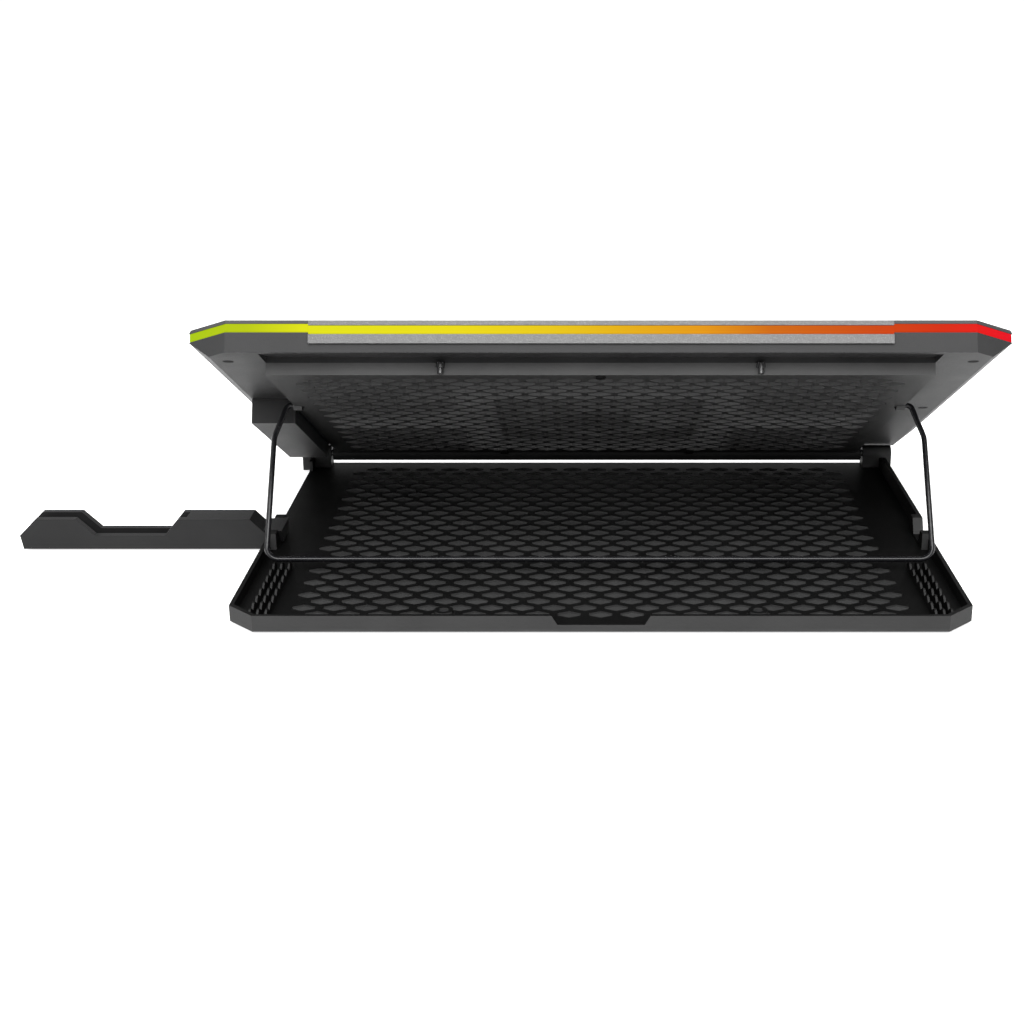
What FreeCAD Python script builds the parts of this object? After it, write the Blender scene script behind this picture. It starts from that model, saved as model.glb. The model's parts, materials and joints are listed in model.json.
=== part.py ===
import FreeCAD, Part
import math
import os

# Laptop cooling pad: a hinged deck with fans over a flat tray, a folding wire prop,
# a side control box and a lift-off phone holder. Lengths in millimetres, angles in degrees.
# Hinge frame: X along the hinge, the tray runs towards -Y, Z up.

doc = FreeCAD.newDocument("CoolingPad")
V = FreeCAD.Vector

DRIVING = {
    # place of the hinge axis in the part's frame
    "origin_x": 59.05, "origin_y": 130.18, "hinge_z": 11.4, "tilt": 26.0,
    # deck
    "deck_half": 207.5, "deck_rear": 265.6, "deck_nose": 5.0, "corner_x": 23.0, "corner_y": 22.0,
    "shell_low": 5.8, "shell_split": 15.9, "deck_top": 22.0, "shell_floor": 2.0, "slab": 1.8,
    "bevel_x": 13.0, "bevel_z": 9.9, "well_half": 191.5, "well_rear": 254.0, "well_front": 14.0,
    "low_well_rear": 240.5, "groove_rear": 262.0, "groove": 3.0,
    "light_low": 16.4, "light_high": 20.2, "light_deep": 3.5, "light_board_deep": 1.2,
    "light_start": 205.0, "trim_half": 143.5, "trim_proud": 1.6, "light_drop": 1.2,
    "window_half": 176.0, "window_rear": 238.0, "window_front": 22.0, "sheet_thick": 1.2,
    # belly cover
    "belly_half": 168.7, "belly_rear": 242.6, "belly_front": 5.0, "belly_low": -0.5,
    "belly_wall": 2.0, "belly_floor": 3.0, "lip": 4.0,
    # lattice cells
    "cell_pitch": 15.9, "cell_row": 8.8, "cell_web": 1.5, "mesh_pitch": 12.4,
    # hinge
    "barrel_r": 4.6, "barrel_half": 172.0, "knuckle_r": 5.2, "block_in": 173.0, "block_out": 191.5,
    "pin_r": 2.0, "run_gap": 0.05, "pin_in": 160.0,
    # tray
    "tray_half": 186.0, "tray_front": 274.5, "tray_far": 5.5, "tray_low": 1.2, "floor_top": 3.2,
    "rim": 9.7, "rim_far": 12.6, "tray_wall": 2.2, "tray_corner": 14.0, "recess_floor": 2.2,
    "low_wall": 161.0, "notch_half": 25.0, "notch_low": 4.9, "post_x": 78.0, "post_y": 266.5,
    "post_r": 4.8, "plug_r": 2.6, "rack_in": 166.2, "rib": 1.1, "rib_step": 4.1, "tooth_pitch": 9.39,
    "tooth_tip": 8.7, "tooth_low": 6.2, "rack_near": 262.9, "socket_y": 145.0, "socket_top": 12.0,
    "socket_low": 6.0, "socket_floor": 4.4,
    # prop wire
    "wire_r": 1.5, "pivot": 158.7, "pivot_z": 0.4, "wire_half": 179.2, "wire_length": 89.2,
    "wire_angle": 52.5, "wire_bend": 7.0, "wire_neck": 173.0, "wire_slope": 19.0,
    # control box
    "box_out": 194.4, "box_in": 170.0, "box_near": 151.0, "box_far": 33.0, "box_low": -8.2,
    "box_wall": 1.6, "button_r": 2.6,
    # phone holder
    "holder_out": 325.6, "holder_in": 186.3, "holder_near": 155.2, "holder_far": 138.0,
    "holder_low": 9.2, "holder_jaw": 18.8,
}

sheet = doc.addObject("Spreadsheet::Sheet", "Params")
for row, (word, value) in enumerate(DRIVING.items(), start=1):
    sheet.set("A%d" % row, word)
    sheet.set("B%d" % row, str(value))
    sheet.setAlias("B%d" % row, word)
doc.recompute()


class Sizes:
    """Reads a named value from the spreadsheet."""
    def __getattr__(self, word):
        return float(getattr(sheet, word))


z = Sizes()
kept = []


def bind(thing, **links):
    """Bind properties of a document object to spreadsheet expressions."""
    for prop, rule in links.items():
        thing.setExpression(prop.replace("__", "."), str(rule))
    return thing


def words(rule):
    """Turn bare cell names in a rule into references to the spreadsheet."""
    rule = str(rule)
    for word in sorted(DRIVING, key=len, reverse=True):
        rule = rule.replace("{" + word + "}", "Params." + word)
    return rule


def box(name, low, high):
    """Box between two corners given as rules."""
    solid = doc.addObject("Part::Box", name)
    for prop, axis, lo, hi in zip(("Length", "Width", "Height"), "xyz", low, high):
        solid.setExpression("Placement.Base." + axis, words(lo))
        solid.setExpression(prop, words("(%s) - (%s)" % (hi, lo)))
    return solid


def rod(name, start, length, radius, axis="x"):
    """Cylinder from a start point along an axis, with its radius and length as rules."""
    solid = doc.addObject("Part::Cylinder", name)
    turn = {"x": (V(0, 1, 0), 90), "y": (V(1, 0, 0), -90), "z": (V(0, 0, 1), 0)}[axis]
    solid.Placement = FreeCAD.Placement(V(), FreeCAD.Rotation(*turn))
    for letter, rule in zip("xyz", start):
        solid.setExpression("Placement.Base." + letter, words(rule))
    bind(solid, Radius=words(radius), Height=words(length))
    return solid


def raw(name, shape):
    """Shape made with Part's own functions, as a document object."""
    solid = doc.addObject("Part::Feature", name)
    solid.Shape = shape
    return solid


def join(name, parts):
    whole = doc.addObject("Part::MultiFuse", name)
    whole.Shapes = parts
    return whole


def cut(name, base, tools):
    """Base with one tool, or several joined tools, taken away."""
    whole = doc.addObject("Part::Cut", name)
    whole.Base = base
    whole.Tool = tools[0] if len(tools) == 1 else join(name + "_tools", tools)
    return whole


def group(name, parts):
    """Separate solids that share one node."""
    whole = doc.addObject("Part::Compound", name)
    whole.Links = parts
    return whole


def keep(thing, label, where="tray"):
    """Name a finished piece and give it the placement of the body that it belongs to."""
    thing.Label = label
    angle = {"tray": "0", "deck": "-{tilt}", "wire": "{wire_angle}"}[where]
    thing.Placement = FreeCAD.Placement(V(), FreeCAD.Rotation(V(1, 0, 0), 1.0))
    across, up = "{origin_y}", "0"
    if where == "deck":
        up = "{hinge_z}"
    if where == "wire":
        across = "{origin_y} - {pivot} * cos({tilt} * 1deg) + {pivot_z} * sin({tilt} * 1deg)"
        up = "{hinge_z} + {pivot} * sin({tilt} * 1deg) + {pivot_z} * cos({tilt} * 1deg)"
    thing.setExpression("Placement.Base.x", words("{origin_x}"))
    thing.setExpression("Placement.Base.y", words(across))
    thing.setExpression("Placement.Base.z", words(up))
    thing.setExpression("Placement.Rotation.Angle", words("(%s) * 1deg" % angle))
    kept.append(thing)
    return thing


def prism(points, low, high):
    """Upright prism over a plan outline."""
    wire = Part.makePolygon([V(x, y, low) for x, y in points + points[:1]])
    return Part.Face(wire).extrude(V(0, 0, high - low))


def slab_x(points, start, end):
    """Prism along X over an outline in Y and Z."""
    wire = Part.makePolygon([V(start, y, up) for y, up in points + points[:1]])
    return Part.Face(wire).extrude(V(end - start, 0, 0))


def slab_y(points, start, end):
    """Prism along Y over an outline in X and Z."""
    wire = Part.makePolygon([V(x, start, up) for x, up in points + points[:1]])
    return Part.Face(wire).extrude(V(0, end - start, 0))


def lattice(x0, x1, y0, y1, low, high, pitch, row, web, wide=0.39, long=0.61):
    """Plate with staggered lens-like six-sided cells that point towards the front and back."""
    half = pitch * wide
    tall = row * long
    short = tall * 0.3
    shape = [(0, -tall), (half, -short), (half, short), (0, tall), (-half, short), (-half, -short)]
    corners = [V(x0, y0, low), V(x1, y0, low), V(x1, y1, low), V(x0, y1, low)]
    outline = Part.makePolygon(corners + corners[:1])
    holes = []
    middle_x, middle_y = (x0 + x1) / 2, (y0 + y1) / 2
    rows = int((y1 - y0 - 2 * tall - web) / 2 / row)
    for line in range(-rows, rows + 1):
        shift = pitch / 2 if line % 2 else 0.0
        columns = int(((x1 - x0) / 2 - half - web + pitch) / pitch) + 1
        for column in range(-columns, columns + 1):
            x = middle_x + column * pitch + shift
            y = middle_y + line * row
            if x - half < x0 + web or x + half > x1 - web:
                continue
            ring = [V(x + dx, y + dy, low) for dx, dy in shape]
            holes.append(Part.makePolygon(ring + ring[:1]))
    face = Part.Face([outline] + holes)
    if not face.isValid():
        face.validate()
    return face.extrude(V(0, 0, high - low))


def deck_outline(inset=0.0, nose=None):
    """Plan of the deck: straight sides and two cut rear corners."""
    half, rear = z.deck_half - inset, z.deck_rear - inset
    cx, cy = z.corner_x - inset * 0.4, z.corner_y - inset * 0.4
    front = z.deck_nose - inset if nose is None else nose
    return [(-half, front), (half, front), (half, cy - rear), (half - cx, -rear),
            (cx - half, -rear), (-half, cy - rear)]


# ---------------------------------------------------------------- deck shells
def deck_bottom_shell():
    plate = raw("bottom_plate", prism(deck_outline(), z.shell_low, z.shell_split))
    barrel = rod("barrel", ("-{barrel_half}", "0", "0"), "2 * {barrel_half}", "{barrel_r}")
    web = box("barrel_web", ("-{barrel_half}", "-3", "0"), ("{barrel_half}", "3", "{shell_low} + 1"))
    tools = []
    for side in (-1, 1):
        edge = [(side * (z.deck_half - z.bevel_x), z.shell_low),
                (side * (z.deck_half + 1), z.shell_low - 1),
                (side * (z.deck_half + 1), z.shell_low + z.bevel_z),
                (side * z.deck_half, z.shell_low + z.bevel_z)]
        tools.append(raw("bevel_tool", slab_y(edge, -z.deck_rear - 5, z.deck_nose + 5)))
    tools.append(box("well", ("-{well_half}", "-{low_well_rear}", "{shell_low} + {shell_floor}"),
                     ("{well_half}", "-{well_front}", "{shell_split} + 1")))
    tools.append(box("belly_opening",
                     ("{lip} - {belly_half}", "{lip} - {belly_rear}", "0"),
                     ("{belly_half} - {lip}", "-{well_front}", "{shell_low} + 3")))
    for x in ("-{barrel_half} - 1", "{pin_in} - 0.5"):
        tools.append(rod("pin_bore", (x, "0", "0"), "{barrel_half} - {pin_in} + 1.5", "{pin_r} + {run_gap}"))
    tools.append(box("groove", ("-{belly_half}", "-{groove_rear}", "0"),
                     ("{belly_half}", "-{belly_rear}", "{shell_low} + {groove}")))
    tools += [rod("screw_well", (x, y, "0"), low + " + 1.2", "2.9", "z")
              for x, y, low in shell_screw_places()]
    tools.append(box("box_cable_slot", ("-{box_out} + 4", "-100", "0"),
                     ("-{box_in} - 3", "-80", "{shell_split}")))
    tools.append(box("light_step",
                     ("-{trim_half} - 0.2", "-{deck_rear} - 5", "{shell_split} - {light_drop} + 0.1"),
                     ("{trim_half} + 0.2", "-{deck_rear} + {light_deep} + 0.2", "{shell_split} + 1")))
    keep(cut("bottom_shell", join("bottom_solid", [plate, barrel, web]), tools), "deck_bottom_shell", "deck")


def rear_trims():
    """Proud strips above and below the middle of the light."""
    rear, front = "-{deck_rear} - {trim_proud}", "-{deck_rear}"
    upper = box("upper_strip", ("-{trim_half}", rear, "{light_high} - {light_drop} + 0.2"),
                ("{trim_half}", front, "{deck_top} - 0.4"))
    lower = box("lower_strip", ("-{trim_half}", rear, "{shell_low} + 4.3"),
                ("{trim_half}", front, "{shell_split} - {light_drop}"))
    keep(group("upper_trim", [upper]), "rear_trim_upper", "deck")
    keep(group("lower_trim", [lower]), "rear_trim_lower", "deck")


def shell_screw_places():
    """Screw places on the underside and the height of their seats, as rules."""
    near, middle, inner = "-{deck_rear} + 20", "-{deck_rear} / 2 + 8", "-{belly_rear} - 11.5"
    outer = [(x, y, "{shell_low}") for y in (near, middle) for x in ("-187", "187")]
    return outer + [(x, inner, "{shell_low} + {groove}") for x in ("-60", "60")]


def deck_top_shell():
    cover = raw("top_plate", prism(deck_outline(), z.shell_split, z.deck_top))
    channel_in = z.light_deep + z.light_board_deep + 0.7
    ring = prism(deck_outline(-1.0), z.shell_split - 1, z.light_high + 0.1)
    core = prism(deck_outline(channel_in), z.shell_split - 2, z.light_high + 1)
    front = Part.makeBox(500, 400, 20, V(-250, -z.light_start, z.shell_split - 3))
    channel = raw("light_channel", ring.cut(core).cut(front))
    well = box("top_well", ("-{well_half}", "-{well_rear}", "{shell_split} - 1"),
               ("{well_half}", "-{well_front}", "{deck_top} - {slab}"))
    window = box("window", ("-{window_half}", "-{window_rear}", "{shell_split}"),
                 ("{window_half}", "-{window_front}", "{deck_top} + 1"))
    tools = [channel, well, window]
    for side in ("-110", "110"):
        tools.append(box("stop_recess", (side + " - 30.3", "-13.3", "{deck_top} - 3.7"),
                         (side + " + 30.3", "2.6", "{deck_top} + 1")))
        tools.append(rod("stop_pin_hole", (side + " - 34", "0.5", "{deck_top} - 1.8"), "68", "0.9"))
    slope = [(z.deck_half + 1, z.light_high), (z.deck_half + 1, z.deck_top + 1),
             (z.deck_half - 2.4, z.deck_top + 1)]
    for side in (-1, 1):
        wedge = slab_y([(side * x, up) for x, up in slope], -z.deck_rear - 5, z.deck_nose + 5)
        tools.append(raw("top_slope", wedge))
    keep(cut("top_shell", cover, tools), "deck_top_shell", "deck")


def top_mesh():
    edge = z.lip
    shape = lattice(-z.window_half - edge, z.window_half + edge,
                    -z.window_rear - edge, -z.window_front + edge,
                    z.deck_top - z.slab - z.sheet_thick, z.deck_top - z.slab,
                    z.mesh_pitch, z.mesh_pitch * 0.866, 2.2)
    keep(raw("mesh_sheet", shape), "top_mesh", "deck")


def light_parts():
    """Light strip round the rear edge and its board."""
    outer = prism(deck_outline(0.3), z.light_low, z.light_high)
    inner = prism(deck_outline(z.light_deep), z.light_low - 1, z.light_high + 1)
    front = Part.makeBox(500, 400, 20, V(-250, -z.light_start - 0.4, z.light_low - 3))
    half, rear = z.trim_half, z.deck_rear
    middle = Part.makeBox(2 * half, 20, 20, V(-half, -rear - 10, z.light_low - 5))
    deep = z.light_deep + z.trim_proud - 0.3
    bar = Part.makeBox(2 * half, deep, z.light_high - z.light_low,
                       V(-half, -rear - z.trim_proud + 0.3, z.light_low - z.light_drop))
    ends = outer.cut(inner).cut(front).cut(middle)
    keep(raw("light_ring", ends.fuse(bar)), "light_diffuser", "deck")
    rear_face = "-{deck_rear} + {light_deep} + 0.3"
    board = box("light_strip_board", ("-165", rear_face, "{light_low} + 0.2"),
                ("165", rear_face + " + {light_board_deep}", "{light_high} - 0.2"))
    keep(group("light_board_group", [board]), "light_board", "deck")


# ---------------------------------------------------------------- belly cover
def belly_cover():
    floor_high = z.belly_low + z.belly_floor
    inset = z.belly_wall + 3.0
    grid = raw("belly_grid", lattice(-z.belly_half + inset, z.belly_half - inset,
                                     -z.belly_rear + inset, -z.belly_front - inset,
                                     z.belly_low, floor_high, z.cell_pitch, z.cell_row, z.cell_web))
    block = box("belly_block", ("-{belly_half}", "-{belly_rear}", "{belly_low}"),
                ("{belly_half}", "-{belly_front}", "{shell_low}"))
    hollow = box("belly_hollow", ("{belly_wall} - {belly_half}", "{belly_wall} - {belly_rear}",
                                  "{belly_low} + {belly_floor}"),
                 ("{belly_half} - {belly_wall}", "-{belly_front} - {belly_wall}", "{shell_low} + 1"))
    field = box("belly_field",
                ("%g - {belly_half}" % inset, "%g - {belly_rear}" % inset, "{belly_low} - 1"),
                ("{belly_half} - %g" % inset, "-{belly_front} - %g" % inset, "{shell_low}"))
    lugs, bores = [], []
    for x, bore_x in (("-{belly_half} - 0.7", "-{belly_half} - 3"),
                      ("{belly_half} - 4", "{belly_half} - 5")):
        lugs.append(rod("pivot_lug", (x, "-{pivot}", "{pivot_z}"), "4.7", "2.8"))
        bores.append(rod("pivot_bore", (bore_x, "-{pivot}", "{pivot_z}"), "8", "{wire_r} + {run_gap}"))
    bores += [rod("belly_screw_hole", (x, y, "{belly_low} - 1"), "{belly_floor} + 2", "1.4", "z")
              for x, y in belly_screw_places()]
    rim = cut("belly_rim", block, [hollow, field])
    frame = cut("belly_frame", join("belly_solid", [rim] + lugs), bores)
    keep(join("belly", [frame, grid]), "belly_cover", "deck")


def belly_screw_places():
    return [("0", "-{belly_rear} + 3.4"), ("-60", "-{belly_front} - 3.4"), ("60", "-{belly_front} - 3.4")]


def strut_clips():
    """Two upright pegs on the rear wall of the belly cover."""
    parts = []
    for x in ("-80.6", "80.6"):
        stem = rod("clip_stem", (x, "-{belly_rear} - 1.4", "{belly_low} + 0.4"), "4", "1.6", "z")
        head = rod("clip_head", (x, "-{belly_rear} - 1.4", "{belly_low} + 3.6"), "2.5", "2.3", "z")
        parts.append(join("clip", [stem, head]))
    keep(group("clips", parts), "strut_clips", "deck")


def screw(name, x, y, low, length, radius, shank):
    """Screw with a pan head, its head face at the low end, pointing up."""
    head = rod(name + "_head", (x, y, low), "1.2", radius, "z")
    stem = rod(name + "_stem", (x, y, low + " + 1.1"), length, shank, "z")
    slot = box(name + "_slot", ("(%s) - %s * 0.8" % (x, radius), "(%s) - 0.35" % y, low + " - 0.1"),
               ("(%s) + %s * 0.8" % (x, radius), "(%s) + 0.35" % y, low + " + 0.5"))
    return cut(name, join(name + "_body", [head, stem]), [slot])


def screws():
    shell = [screw("shell_screw", x, y, low, "0.7", "2.8", "1.2")
             for x, y, low in shell_screw_places()]
    keep(group("shell_screws", shell), "shell_screws", "deck")
    belly = [screw("belly_screw", x, y, "{belly_low} - 1.2", "3.6", "2.6", "1.3")
             for x, y in belly_screw_places()]
    keep(group("belly_screws", belly), "belly_screws", "deck")


# ---------------------------------------------------------------- fans
# place across, distance from the hinge and half width of each fan
FANS = {"centre": (0.0, 124.0, 59.0),
        "rear_left": (-116.0, 192.0, 36.0), "rear_right": (116.0, 192.0, 36.0),
        "front_left": (-116.0, 56.0, 36.0), "front_right": (116.0, 56.0, 36.0)}
FAN_LOW, FAN_HIGH = 2.5, 16.3
SHAFT_R = 1.5


def fan_frame(name, x, y, half):
    height = FAN_HIGH - FAN_LOW
    duct = Part.makeBox(2 * half, 2 * half, height, V(x - half, y - half, FAN_LOW))
    duct = duct.cut(Part.makeCylinder(half - 2.0, height + 2, V(x, y, FAN_LOW - 1)))
    base = Part.makeCylinder(half * 0.32, 1.6, V(x, y, FAN_LOW))
    arms = []
    for turn in (45, 135, 225, 315):
        arm = Part.makeBox(half, 3.0, 1.6, V(x, y - 1.5, FAN_LOW))
        arm.rotate(V(x, y, 0), V(0, 0, 1), turn)
        arms.append(arm)
    bush = Part.makeCylinder(3.6, 6.0, V(x, y, FAN_LOW))
    whole = duct.fuse([base, bush] + arms)
    whole = whole.cut(Part.makeCylinder(SHAFT_R + z.run_gap, 5.2, V(x, y, FAN_LOW + 1.0)))
    keep(raw("frame_" + name, whole.removeSplitter()), "fan_frame_" + name, "deck")


def fan_rotor(name, x, y, half):
    hub_r, tip_r = half * 0.34, half - 3.2
    low, high = FAN_LOW + 3.2, FAN_HIGH - 0.8
    cup = Part.makeCylinder(hub_r, high - low, V(x, y, low))
    cup = cup.cut(Part.makeCylinder(hub_r - 1.6, high - low - 2.0, V(x, y, low - 0.01)))
    shaft = Part.makeCylinder(SHAFT_R, high - FAN_LOW - 2.0, V(x, y, FAN_LOW + 1.4))
    blades = []
    for step in range(9):
        middle = (low + high) / 2
        blade = Part.makeBox(tip_r - hub_r + 0.8, 1.5, 13.0, V(x + hub_r - 0.8, y - 0.75, middle - 6.5))
        blade.rotate(V(x, y, middle), V(1, 0, 0), 52)
        blade.rotate(V(x, y, 0), V(0, 0, 1), 40 * step)
        blades.append(blade)
    whole = cup.fuse([shaft] + blades)
    keep(raw("rotor_" + name, whole.removeSplitter()), "fan_rotor_" + name, "deck")


# ---------------------------------------------------------------- control box
BUTTONS = {"power": 60.0, "speed": 76.0, "light": 92.0}
PORTS = (112.0, 132.0)


def control_box():
    block = box("box_block", ("-{box_out}", "-{box_near}", "{box_low}"),
                ("-{box_in}", "-{box_far}", "{shell_low}"))
    hollow = box("box_hollow",
                 ("{box_wall} - {box_out}", "{box_wall} - {box_near}", "{box_low} + {box_wall}"),
                 ("-{box_in} - {box_wall}", "-{box_far} - {box_wall}", "{shell_low} + 1"))
    mid = "({box_low} + {shell_low}) / 2"
    holes = [rod("button_hole", ("-{box_out} - 1", "-%g" % where, mid), "{box_wall} + 2", "{button_r} + 0.3")
             for where in BUTTONS.values()]
    holes += [box("port_hole", ("-{box_out} - 1", "-%g - 6.7" % where, mid + " - 3"),
                  ("{box_wall} - {box_out} + 1", "-%g + 6.7" % where, mid + " + 3")) for where in PORTS]
    keep(cut("control_case", block, [hollow] + holes), "control_box", "deck")
    board = [box("board_plate", ("-187.2", "-{box_near} + 3", "{box_low} + 2.4"),
                 ("-186", "-{box_far} - 3", "{shell_low}"))]
    board += [box("switch", ("-189", "-%g - 3" % where, mid + " - 3"),
                  ("-187.1", "-%g + 3" % where, mid + " + 3")) for where in BUTTONS.values()]
    keep(join("board", board), "control_board", "deck")
    ports = []
    for where in PORTS:
        sleeve = box("port", ("-{box_out}", "-%g - 6.6" % where, mid + " - 2.9"),
                     ("-187.2", "-%g + 6.6" % where, mid + " + 2.9"))
        mouth = box("port_mouth", ("-{box_out} - 1", "-%g - 6.1" % where, mid + " - 2.4"),
                    ("-188.2", "-%g + 6.1" % where, mid + " + 2.4"))
        ports.append(cut("port_shell", sleeve, [mouth]))
    keep(group("ports", ports), "usb_ports", "deck")
    collar_start = "{box_wall} - {box_out} + 0.1"
    for name, where in BUTTONS.items():
        cap = rod("button_cap", ("-{box_out} - 1.1", "-%g" % where, mid), "5.1", "{button_r}")
        collar = rod("button_collar", (collar_start, "-%g" % where, mid), "1", "{button_r} + 1")
        keep(join("button_solid_" + name, [cap, collar]), "button_" + name, "deck")


# ---------------------------------------------------------------- laptop stops and grips
def laptop_stops():
    pins = []
    for name, x in (("left", -110.0), ("right", 110.0)):
        axis_y, axis_z = 0.5, z.deck_top - 1.8
        flap = Part.makeBox(60, 13.2, 3.2, V(x - 30, -12.9, z.deck_top - 3.4))
        root = Part.makeCylinder(1.6, 60, V(x - 30, axis_y, axis_z), V(1, 0, 0))
        flap = flap.fuse(root)
        flap = flap.cut(Part.makeCylinder(0.95, 70, V(x - 35, axis_y, axis_z), V(1, 0, 0)))
        flap = flap.cut(Part.makeBox(20, 6, 1.2, V(x - 10, -13.5, z.deck_top - 1.4)))
        keep(raw("stop_" + name, flap.removeSplitter()), "laptop_stop_" + name, "deck")
        pins.append(rod("stop_pin", ("%g - 34" % x, "0.5", "{deck_top} - 1.8"), "68", "0.9"))
    keep(group("stop_pins_group", pins), "stop_pins", "deck")
    pads = []
    for x in ("-140", "-50", "50", "140"):
        pads.append(box("pad", (x + " - 22", "-{well_rear} + 2", "{deck_top}"),
                        (x + " + 22", "-{window_rear} - 4", "{deck_top} + 0.8")))
    keep(group("pads", pads), "top_grip_pads", "deck")


# ---------------------------------------------------------------- prop wire
def rounded_path(points, radii):
    """Straight runs joined by tangent arcs, one radius for each inner point."""
    edges, start = [], points[0]
    for before, corner, after, radius in zip(points, points[1:], points[2:], radii):
        into, out = (corner - before).normalize(), (after - corner).normalize()
        turn = into.getAngle(out)
        reach = radius * math.tan(turn / 2)
        first, last = corner - into * reach, corner + out * reach
        inward = (out - into).normalize()
        middle = corner + inward * (radius / math.cos(turn / 2) - radius)
        edges.append(Part.LineSegment(start, first))
        edges.append(Part.Arc(first, middle, last))
        start = last
    edges.append(Part.LineSegment(start, points[-1]))
    return Part.Wire([edge.toShape() for edge in edges])


def prop_wire():
    """Bent wire in its own plane: two hooks into the belly cover, two splayed legs and a foot bar."""
    hook, neck, half = z.belly_half - 3.0, z.wire_neck, z.wire_half
    right = [V(hook, 0, 0), V(neck, 0, 0), V(half, -z.wire_slope, 0), V(half, -z.wire_length, 0)]
    left = [V(-point.x, point.y, 0) for point in right]
    radii = [3.0, 12.0, z.wire_bend]
    path = rounded_path(left + right[::-1], radii + radii[::-1])
    ring = Part.Wire(Part.makeCircle(z.wire_r, left[0], V(-1, 0, 0)))
    keep(raw("wire", path.makePipeShell([ring], True, False)), "prop_wire", "wire")


# ---------------------------------------------------------------- tray
def base_tray():
    wall, half, front = z.tray_wall, z.tray_half, -z.tray_front
    step, corner, far = -z.low_wall, z.tray_corner, z.tray_far

    def plan(inset, end):
        bite = corner - inset * 0.4
        return [(-half + inset + bite, front + inset), (half - inset - bite, front + inset),
                (half - inset, front + inset + bite), (half - inset, end), (-half + inset, end),
                (-half + inset, front + inset + bite)]

    ring = prism(plan(0, far), z.tray_low, z.rim).cut(prism(plan(wall, far + 1), z.tray_low - 1, z.rim + 1))
    ring = ring.cut(Part.makeBox(wall + 2, -step - 14, z.rim, V(-half - 1, step, z.floor_top)))
    margin = 165.0
    grid = lattice(-margin, margin, front + 6, far - 4, z.recess_floor, z.floor_top,
                   z.cell_pitch, z.cell_row, z.cell_web, wide=0.37, long=0.49)
    field = Part.makeBox(2 * margin, far - 4 - front - 6, 9, V(-margin, front + 6, z.recess_floor))
    floor = prism(plan(wall, far), z.tray_low, z.floor_top).cut(field)
    pieces = [ring, floor]
    for side in (-1, 1):
        pieces.append(socket_block(side, half - wall, wall))
        pieces.append(hinge_block(side))
        pieces += rack(side)
        pieces.append(Part.makeCylinder(z.post_r, z.rim - z.tray_low,
                                        V(side * z.post_x, -z.post_y, z.tray_low)))
    pieces.append(Part.makeBox(wall, -step - 14, z.rim_far - z.tray_low,
                               V(half - wall, step, z.tray_low)))
    whole = pieces[0].fuse(pieces[1:])
    tools = []
    notch = [(-z.notch_half, z.rim + 1), (z.notch_half, z.rim + 1), (z.notch_half - 3.5, z.notch_low),
             (3.5 - z.notch_half, z.notch_low)]
    tools.append(slab_y(notch, front - 1, front + wall + 1))
    for side in (-1, 1):
        tools.append(Part.makeCylinder(z.plug_r, 9, V(side * z.post_x, -z.post_y, 5.0)))
        start = z.block_in - 1 if side > 0 else -z.block_out - 1
        tools.append(Part.makeCylinder(z.pin_r, 21, V(start, 0, z.hinge_z), V(1, 0, 0)))
        vee = [(-z.socket_y - z.socket_top, z.rim_far + 2), (-z.socket_y + z.socket_top, z.rim_far + 2),
               (-z.socket_y + z.socket_low, z.socket_floor), (-z.socket_y - z.socket_low, z.socket_floor)]
        tools.append(slab_x(vee, side * 170, side * 190))
    whole = whole.cut(tools).removeSplitter()
    keep(raw("tray_solid", whole.fuse(grid)), "base_tray")


def socket_block(side, inner, wall):
    """Thicker wall that the holder's tongue drops into."""
    length = 2 * z.socket_top + 10
    start = inner - 3.5 if side > 0 else -inner - wall
    return Part.makeBox(wall + 3.5, length, z.rim_far - z.tray_low,
                        V(start, -z.socket_y - length / 2, z.tray_low))


def hinge_block(side):
    start = z.block_in if side > 0 else -z.block_out
    width = z.block_out - z.block_in
    knuckle = Part.makeCylinder(z.knuckle_r, width, V(start, 0, z.hinge_z), V(1, 0, 0))
    foot = Part.makeBox(width, 2 * z.knuckle_r, z.hinge_z - z.tray_low, V(start, -z.knuckle_r, z.tray_low))
    return knuckle.fuse(foot)


def rack(side):
    """Three toothed ribs for the foot bar."""
    teeth = 8
    near = -z.rack_near - z.tooth_pitch / 2
    outline = [(near, z.floor_top), (near, z.tooth_low)]
    for tooth in range(teeth):
        y = -z.rack_near + tooth * z.tooth_pitch
        outline += [(y - 1.3, z.tooth_tip - 0.3), (y - 0.6, z.tooth_tip), (y + 0.6, z.tooth_tip),
                    (y + 1.3, z.tooth_tip - 0.3), (y + z.tooth_pitch / 2, z.tooth_low)]
    outline.append((-z.rack_near + (teeth - 0.5) * z.tooth_pitch, z.floor_top))
    ribs = []
    for index in range(3):
        x = z.rack_in + index * z.rib_step
        ribs.append(slab_x(outline, side * x, side * (x + z.rib)))
    return ribs


def tray_small_parts():
    plugs, feet, pins = [], [], []
    for x in ("-{post_x}", "{post_x}"):
        plugs.append(rod("plug", (x, "-{post_y}", "5"), "4", "{plug_r}", "z"))
    for x in ("-176", "164"):
        for y in ("-{tray_front} + 20", "-30"):
            feet.append(box("foot", (x, y, "0"), (x + " + 12", y + " + 12", "{tray_low}")))
    for x in ("-{block_out}", "{pin_in}"):
        pins.append(rod("pin", (x, "0", "{hinge_z}"), "{block_out} - {pin_in}", "{pin_r}"))
    keep(group("plugs", plugs), "deck_bumpers")
    keep(group("feet", feet), "tray_feet")
    keep(group("pins", pins), "hinge_pins")


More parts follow.
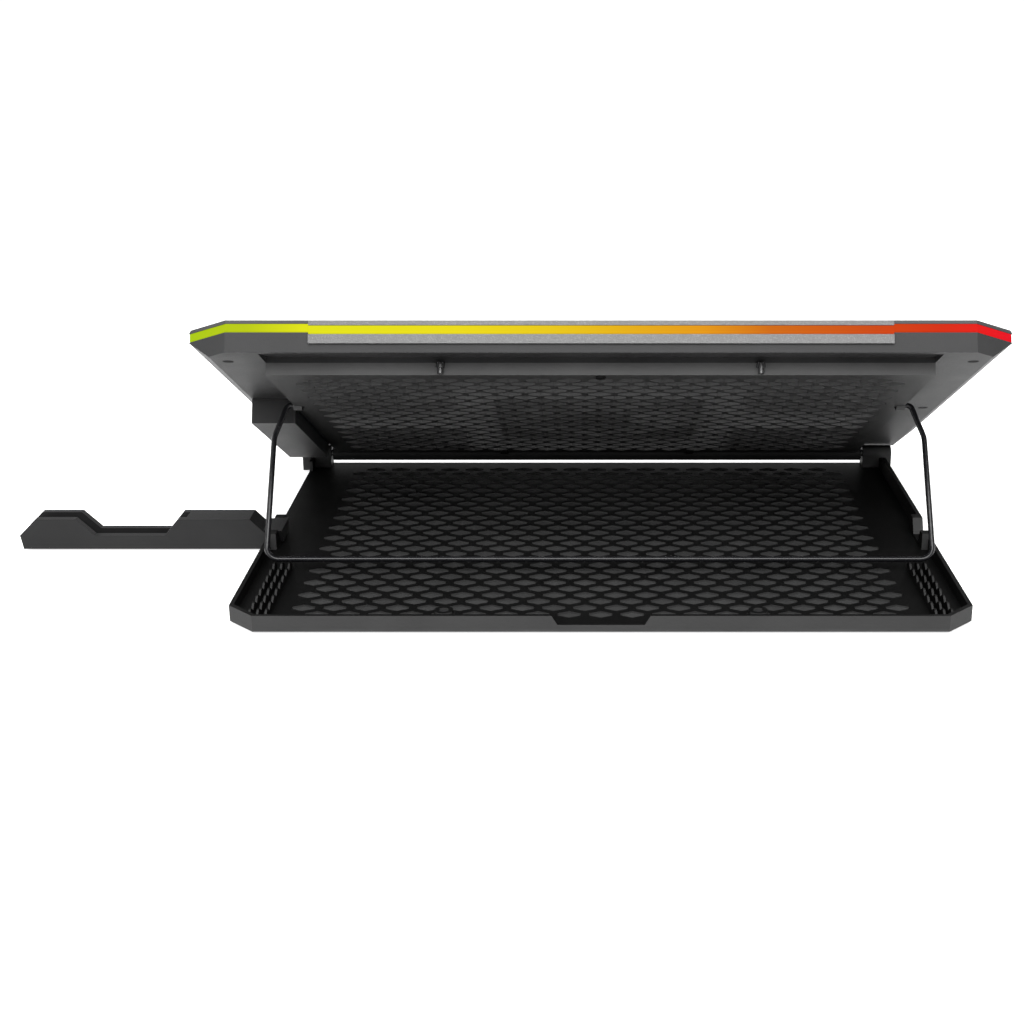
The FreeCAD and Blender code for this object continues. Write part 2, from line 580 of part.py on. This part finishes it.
# ---------------------------------------------------------------- phone holder
def phone_holder():
    out, inn, low, jaw = -z.holder_out, -z.holder_in, z.holder_low, z.holder_jaw
    base = 1.2
    side = [(out + 1.5, base), (inn - 3.4, base), (inn, low), (-195.9, jaw), (-235.9, jaw), (-244.0, low),
            (-283.5, low), (-293.6, jaw), (-316.0, jaw), (out, low)]
    body = slab_y(side, -z.holder_near, -z.holder_far)
    trough_low, trough_half = 5.0, 4.3
    middle = -(z.holder_near + z.holder_far) / 2
    trough = Part.makeBox(-232.0 - out + 5, 2 * trough_half, 30, V(out - 5, middle - trough_half, trough_low))
    body = body.cut(trough)
    end = Part.makeBox(3.0, 2 * trough_half, low - trough_low - 0.6,
                       V(out + 1.0, middle - trough_half, trough_low))
    gap = 0.3
    top, bottom, floor = z.socket_top - gap - 1.5, z.socket_low - gap, z.socket_floor + gap
    vee = [(-z.socket_y - top, z.rim_far), (-z.socket_y + top, z.rim_far),
           (-z.socket_y + bottom, floor), (-z.socket_y - bottom, floor)]
    inside = -z.tray_half + z.tray_wall + 3.5 + gap
    neck = slab_x(vee, inn - 2.2, inside + 0.2)
    wide = [(y + (1.8 if y > -z.socket_y else -1.8), up) for y, up in vee]
    hook = slab_x(wide, inside, inside + 2.0)
    neck_keep = Part.makeBox(20, 60, z.rim_far - floor, V(inn - 2.2, -z.socket_y - 30, floor))
    whole = body.fuse([end, neck.common(neck_keep), hook])
    keep(raw("holder", whole.removeSplitter()), "phone_holder")
    foot = Part.makeBox(10, 9, base, V(out + 10, middle - 4.5, 0))
    keep(raw("holder_pad", foot), "holder_foot")
    lining = Part.makeBox(78, 2 * trough_half - 0.4, 0.8, V(-313, middle - trough_half + 0.2, trough_low))
    keep(raw("holder_strip", lining), "holder_lining")


deck_bottom_shell()
deck_top_shell()
top_mesh()
light_parts()
rear_trims()
belly_cover()
strut_clips()
screws()
for fan_name, (fan_x, fan_s, fan_half) in FANS.items():
    fan_frame(fan_name, fan_x, -fan_s, fan_half)
    fan_rotor(fan_name, fan_x, -fan_s, fan_half)
control_box()
laptop_stops()
prop_wire()
base_tray()
tray_small_parts()
phone_holder()

doc.recompute()
faults = [thing.Name for thing in doc.Objects if {"Invalid", "Error"} & set(thing.State)]
for thing in kept:
    if thing.Shape.isNull() or not thing.Shape.isValid():
        faults.append(thing.Label)
if faults:
    raise RuntimeError("faulty objects: " + ", ".join(faults))

os.makedirs("parts", exist_ok=True)
total = FreeCAD.BoundBox()
for thing in kept:
    thing.Shape.exportStep("parts/%s.step" % thing.Label)
    total.add(thing.Shape.BoundBox)
    print(thing.Label, len(thing.Shape.Solids), round(thing.Shape.Volume, 1))
print("box", total)
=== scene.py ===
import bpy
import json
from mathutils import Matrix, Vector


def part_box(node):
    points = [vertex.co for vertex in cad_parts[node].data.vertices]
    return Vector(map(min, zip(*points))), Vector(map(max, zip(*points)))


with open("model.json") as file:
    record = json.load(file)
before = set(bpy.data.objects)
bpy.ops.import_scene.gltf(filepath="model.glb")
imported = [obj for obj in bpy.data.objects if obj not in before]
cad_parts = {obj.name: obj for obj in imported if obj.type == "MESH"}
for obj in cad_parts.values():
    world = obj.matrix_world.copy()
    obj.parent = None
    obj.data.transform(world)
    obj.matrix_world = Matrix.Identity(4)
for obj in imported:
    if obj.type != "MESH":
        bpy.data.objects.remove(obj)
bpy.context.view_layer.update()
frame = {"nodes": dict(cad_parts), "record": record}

import json
import math

import bpy
from mathutils import Vector

# Looks of the laptop cooling pad: finishes, lit strip, floor, light and camera.
# Metres, in the frame of the CAD model.

nodes = frame["nodes"]
# Below these heights the tray's cells get a painted grey that stands in for light.
TRAY_CELL, TRAY_RIB = 0.0023, 0.0029   # heights between which the tray's cell colour gives way to black
CLOUD_SCALE = 22.0      # texture scales are in repeats per metre
PIT_SCALE = 2200.0
PIT_DEPTH = 0.00012
PIT_STRENGTH = 0.55
NOISE_ROUGHNESS = 0.55
MIX_FACTOR, MIX_A, MIX_B, MIX_RESULT = 0, 6, 7, 2   # colour sockets of a Mix node, by place
FLOOR_HALF, FLOOR_DROP = 60.0, 0.0005
CAMERA_PLACE = (0.05065, -0.8728, 0.3104)
CAMERA_DOWN = 18.714    # degrees below level
CAMERA_LENS = 56.25
CAMERA_SHIFT = -0.0703


# ---------------------------------------------------------------- materials
def new_material(name):
    material = bpy.data.materials.new(name)
    material.use_nodes = True
    tree = material.node_tree
    shader = tree.nodes["Principled BSDF"]
    coords = tree.nodes.new("ShaderNodeTexCoord").outputs["Object"]
    return material, tree, shader, coords


def noise(tree, coords, scale, detail):
    node = tree.nodes.new("ShaderNodeTexNoise")
    node.inputs["Scale"].default_value = scale
    node.inputs["Detail"].default_value = detail
    node.inputs["Roughness"].default_value = NOISE_ROUGHNESS
    tree.links.new(coords, node.inputs["Vector"])
    return node.outputs["Fac"]


def ramp(tree, source, stops):
    node = tree.nodes.new("ShaderNodeValToRGB")
    band = node.color_ramp
    while len(band.elements) < len(stops):
        band.elements.new(0.5)
    for element, (place, value) in zip(band.elements, stops):
        element.position = place
        element.color = (*value, 1.0)
    tree.links.new(source, node.inputs["Fac"])
    return node.outputs["Color"]


def grey(value, tint=(1.0, 1.0, 1.0)):
    return tuple(value * part for part in tint)


def bump(tree, shader, height, strength, distance):
    node = tree.nodes.new("ShaderNodeBump")
    node.inputs["Strength"].default_value = strength
    node.inputs["Distance"].default_value = distance
    tree.links.new(height, node.inputs["Height"])
    tree.links.new(node.outputs["Normal"], shader.inputs["Normal"])


def moulded_plastic(name, shade, rough, shine=0.16, grain=PIT_SCALE, depth=PIT_DEPTH):
    """Spark-textured moulded plastic: fine pits, slight cloudiness and a worn sheen."""
    material, tree, shader, coords = new_material(name)
    clouds = noise(tree, coords, CLOUD_SCALE, 4.0)
    tint = (1.0, 1.0, 1.02)
    colour = ramp(tree, clouds, [(0.3, grey(shade * 0.8, tint)), (0.7, grey(shade * 1.2, tint))])
    shader.inputs["Specular IOR Level"].default_value = shine
    tree.links.new(colour, shader.inputs["Base Color"])
    pits = noise(tree, coords, grain, 2.0)
    gloss = ramp(tree, clouds, [(0.25, grey(rough - 0.05)), (0.75, grey(rough + 0.06))])
    tree.links.new(gloss, shader.inputs["Roughness"])
    bump(tree, shader, pits, PIT_STRENGTH, depth)
    return material


def sparkle_plastic(name, shade, rough):
    """Metallic-effect paint: fine bright flecks over a grey base."""
    material, tree, shader, coords = new_material(name)
    flecks = noise(tree, coords, 2600.0, 1.0)
    colour = ramp(tree, flecks, [(0.42, grey(shade * 0.7)), (0.58, grey(shade)), (0.68, grey(shade * 2.4))])
    tree.links.new(colour, shader.inputs["Base Color"])
    gloss = ramp(tree, flecks, [(0.3, grey(rough)), (0.7, grey(rough - 0.12))])
    tree.links.new(gloss, shader.inputs["Roughness"])
    shader.inputs["Metallic"].default_value = 0.15
    bump(tree, shader, flecks, 0.4, 0.0001)
    return material


def blend(tree, factor, first, second):
    node = tree.nodes.new("ShaderNodeMix")
    node.data_type = "RGBA"
    tree.links.new(factor, node.inputs[MIX_FACTOR])
    tree.links.new(first, node.inputs[MIX_A])
    tree.links.new(second, node.inputs[MIX_B])
    return node.outputs[MIX_RESULT]


def span(tree, source, start, end):
    """0 at the start value, 1 at the end value."""
    node = tree.nodes.new("ShaderNodeMapRange")
    node.inputs["From Min"].default_value = start
    node.inputs["From Max"].default_value = end
    tree.links.new(source, node.inputs["Value"])
    return node.outputs["Result"]


def axis_of(tree, source, axis):
    node = tree.nodes.new("ShaderNodeSeparateXYZ")
    tree.links.new(source, node.inputs["Vector"])
    return node.outputs[axis]


def lit_and_shaded_moulding(name, shaded_flat, lit_upright, shine):
    """Black moulding with painted light: faces towards the raised edge are painted paler and flat faces
    darker, standing in for how the light falls on them.
    """
    material, tree, shader, coords = new_material(name)
    clouds = noise(tree, coords, CLOUD_SCALE, 4.0)
    normals = tree.nodes.new("ShaderNodeTexCoord").outputs["Normal"]
    painted_shade_tone = ramp(tree, clouds, [(0.3, grey(shaded_flat * 0.8)), (0.7, grey(shaded_flat * 1.2))])
    painted_light_tone = ramp(tree, clouds, [(0.3, grey(lit_upright * 0.9)), (0.7, grey(lit_upright * 1.1))])
    # Painted light: faces turned towards the raised edge get the paler tone and the rest the darker one,
    # standing in for how the light falls.
    painted_light_mask = span(tree, axis_of(tree, normals, "Y"), -0.3, -0.65)
    colour = blend(tree, painted_light_mask, painted_shade_tone, painted_light_tone)
    tree.links.new(ramp(tree, clouds, [(0.25, grey(0.42)), (0.75, grey(0.52))]), shader.inputs["Roughness"])
    shader.inputs["Specular IOR Level"].default_value = shine
    bump(tree, shader, noise(tree, coords, PIT_SCALE, 2.0), PIT_STRENGTH, PIT_DEPTH)
    return material, tree, shader, coords, colour


def belly_plastic(name):
    # Painted light: flat faces near black, faces towards the raised edge painted paler, standing in for how
    # the light falls.
    material, tree, shader, coords, colour = lit_and_shaded_moulding(name, 0.003, 0.06, 0.06)
    tree.links.new(colour, shader.inputs["Base Color"])
    return material


def tray_plastic(name):
    """Near-black ribs and walls with painted light: the cell floors are painted grey by height, and rib
    faces towards the raised edge are painted paler, standing in for how the light falls into the tray.
    """
    material, tree, shader, coords, colour = lit_and_shaded_moulding(name, 0.003, 0.026, 0.06)
    clouds = noise(tree, coords, 31.0, 3.0)
    # Painted light: the grey of the cell floors stands in for the light that reaches them.
    cells = ramp(tree, clouds, [(0.3, grey(0.024)), (0.7, grey(0.034))])
    height = span(tree, axis_of(tree, coords, "Z"), TRAY_CELL, TRAY_RIB)
    tree.links.new(blend(tree, height, cells, colour), shader.inputs["Base Color"])
    return material


def metal(name, colour, rough, grain, metallic=1.0, shine=0.5):
    material, tree, shader, coords = new_material(name)
    marks = noise(tree, coords, grain, 5.0)
    dark = tuple(part * 0.75 for part in colour)
    tree.links.new(ramp(tree, marks, [(0.3, dark), (0.7, colour)]), shader.inputs["Base Color"])
    gloss = ramp(tree, marks, [(0.3, grey(rough - 0.06)), (0.7, grey(rough + 0.08))])
    tree.links.new(gloss, shader.inputs["Roughness"])
    shader.inputs["Metallic"].default_value = metallic
    shader.inputs["Specular IOR Level"].default_value = shine
    bump(tree, shader, marks, 0.2, 0.00005)
    return material


def circuit_board(name):
    """Green solder mask with paler copper runs under it."""
    material, tree, shader, coords = new_material(name)
    cells = tree.nodes.new("ShaderNodeTexBrick")
    cells.inputs["Scale"].default_value = 160.0
    cells.inputs["Mortar Size"].default_value = 0.06
    cells.inputs["Color1"].default_value = (0.005, 0.09, 0.03, 1)
    cells.inputs["Color2"].default_value = (0.006, 0.12, 0.04, 1)
    cells.inputs["Mortar"].default_value = (0.02, 0.2, 0.07, 1)
    tree.links.new(coords, cells.inputs["Vector"])
    tree.links.new(cells.outputs["Color"], shader.inputs["Base Color"])
    shader.inputs["Roughness"].default_value = 0.35
    return material


LIGHT_COLOURS = [(0.0, (0.37, 0.54, 0.002)), (0.08, (0.44, 0.53, 0.003)), (0.15, (0.68, 0.69, 0.004)),
                 (0.33, (0.74, 0.63, 0.004)), (0.44, (0.72, 0.51, 0.004)), (0.53, (0.70, 0.38, 0.003)),
                 (0.62, (0.70, 0.28, 0.003)), (0.70, (0.57, 0.13, 0.002)), (0.82, (0.55, 0.058, 0.002)),
                 (0.90, (0.60, 0.024, 0.002)), (0.96, (0.76, 0.005, 0.008)), (1.0, (0.74, 0.003, 0.013))]


def light_strip(name):
    """Frosted strip lit from behind, green at one end and red at the other; its own surface stays dark."""
    material, tree, shader, coords = new_material(name)
    low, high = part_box("light_diffuser")
    along = span(tree, axis_of(tree, coords, "X"), low.x, high.x)
    colour = ramp(tree, along, LIGHT_COLOURS)
    tree.links.new(colour, shader.inputs["Emission Color"])
    frost = noise(tree, coords, 900.0, 2.0)
    dim = tree.nodes.new("ShaderNodeMix")
    dim.data_type = "RGBA"
    dim.inputs[MIX_FACTOR].default_value = 0.95
    dim.inputs[MIX_B].default_value = (0.001, 0.001, 0.001, 1.0)
    tree.links.new(colour, dim.inputs[MIX_A])
    tree.links.new(dim.outputs[MIX_RESULT], shader.inputs["Base Color"])
    shader.inputs["Emission Strength"].default_value = 0.97
    shader.inputs["Roughness"].default_value = 0.6
    shader.inputs["Specular IOR Level"].default_value = 0.02
    bump(tree, shader, frost, 0.15, 0.0001)
    return material


def floor_material(name):
    """White floor that also glows, so that it stays near white in the object's shadow."""
    material, tree, shader, coords = new_material(name)
    tone = noise(tree, coords, 3.0, 2.0)
    tree.links.new(ramp(tree, tone, [(0.3, grey(0.60)), (0.7, grey(0.62))]), shader.inputs["Base Color"])
    tree.links.new(ramp(tree, tone, [(0.3, grey(0.97)), (0.7, grey(1.0))]), shader.inputs["Emission Color"])
    shader.inputs["Emission Strength"].default_value = 0.8
    shader.inputs["Roughness"].default_value = 0.75
    shader.inputs["Specular IOR Level"].default_value = 0.2
    return material


SHELL = moulded_plastic("shell_plastic", 0.018, 0.5, shine=0.12)
TRIM = sparkle_plastic("trim_plastic", 0.026, 0.45)
TOP = moulded_plastic("top_plastic", 0.03, 0.5, grain=1500.0, depth=0.0002)
BELLY = belly_plastic("belly_plastic")
TRAY = tray_plastic("tray_plastic")
FAN = moulded_plastic("fan_plastic", 0.006, 0.45, shine=0.06, grain=900.0)
HOLDER = moulded_plastic("holder_plastic", 0.009, 0.42)
RUBBER = moulded_plastic("rubber", 0.012, 0.75, grain=700.0, depth=0.0002)
BUTTON = moulded_plastic("button_plastic", 0.05, 0.4)
CLIP = moulded_plastic("clip_plastic", 0.02, 0.15, shine=0.6)
MESH = metal("mesh_coat", (0.02, 0.02, 0.022), 0.42, 600.0, 0.0, shine=0.2)
WIRE = metal("wire_enamel", (0.006, 0.006, 0.007), 0.2, 300.0, 0.0, shine=0.25)
STEEL = metal("plated_steel", (0.55, 0.55, 0.56), 0.3, 500.0)
SCREW = metal("black_screw", (0.004, 0.004, 0.004), 0.6, 800.0, 0.0, shine=0.05)
BOARD = circuit_board("board_mask")
LIGHT = light_strip("light_strip")

FINISH = {"tray": TRAY, "grille": BELLY, "shell": SHELL, "fan": FAN, "holder": HOLDER, "rubber": RUBBER,
          "button": BUTTON, "clip": CLIP, "mesh": MESH, "wire": WIRE, "steel": STEEL, "screw": SCREW,
          "board": BOARD, "light": LIGHT, "trim": TRIM}
for part in frame["record"]["subparts"]:
    piece = nodes[part["node"]]
    piece.data.materials.clear()
    piece.data.materials.append(FINISH[part["material_slot"]])
nodes["deck_top_shell"].data.materials[0] = TOP


# ---------------------------------------------------------------- floor, light and camera
def make_floor():
    data = bpy.data.meshes.new("floor")
    corners = [(-FLOOR_HALF, -FLOOR_HALF, 0), (FLOOR_HALF, -FLOOR_HALF, 0),
               (FLOOR_HALF, FLOOR_HALF, 0), (-FLOOR_HALF, FLOOR_HALF, 0)]
    data.from_pydata(corners, [], [(0, 1, 2, 3)])
    floor = bpy.data.objects.new("floor", data)
    floor.location.z = -FLOOR_DROP
    bpy.context.scene.collection.objects.link(floor)
    data.materials.append(floor_material("floor_white"))


def area_light(name, place, target, size, power):
    data = bpy.data.lights.new(name, "AREA")
    data.shape = "RECTANGLE"
    data.size, data.size_y = size
    data.energy = power
    lamp = bpy.data.objects.new(name, data)
    lamp.location = place
    lamp.rotation_euler = (Vector(target) - Vector(place)).to_track_quat("-Z", "Y").to_euler()
    bpy.context.scene.collection.objects.link(lamp)


def make_lights():
    """Three soft lamps, and a world that is white near the horizon and dimmer overhead."""
    middle = (0.0, 0.0, 0.06)
    area_light("overhead", (0.0, 0.1, 1.6), middle, (2.0, 1.6), 30.0)
    area_light("front_fill", (0.1, -1.25, 1.2), middle, (1.8, 0.9), 60.0)
    area_light("left_fill", (-1.5, -0.4, 0.7), middle, (1.0, 1.0), 8.0)
    world = bpy.data.worlds.new("studio")
    bpy.context.scene.world = world
    world.use_nodes = True
    back = world.node_tree.nodes["Background"]
    direction = world.node_tree.nodes.new("ShaderNodeTexCoord").outputs["Generated"]
    height = span(world.node_tree, axis_of(world.node_tree, direction, "Z"), 0.1, 0.25)
    sky = ramp(world.node_tree, height, [(0.0, grey(1.0)), (1.0, grey(0.35))])
    world.node_tree.links.new(sky, back.inputs["Color"])


def make_camera():
    """Camera in front of the raised edge, a little left of the deck's middle, looking down."""
    data = bpy.data.cameras.new("camera")
    data.lens = CAMERA_LENS
    data.shift_x = CAMERA_SHIFT
    camera = bpy.data.objects.new("camera", data)
    camera.location = CAMERA_PLACE
    camera.rotation_euler = (math.radians(90.0 - CAMERA_DOWN), 0.0, 0.0)
    bpy.context.scene.collection.objects.link(camera)
    bpy.context.scene.camera = camera
    bpy.context.scene.view_settings.view_transform = "Standard"


make_floor()
make_lights()
make_camera()
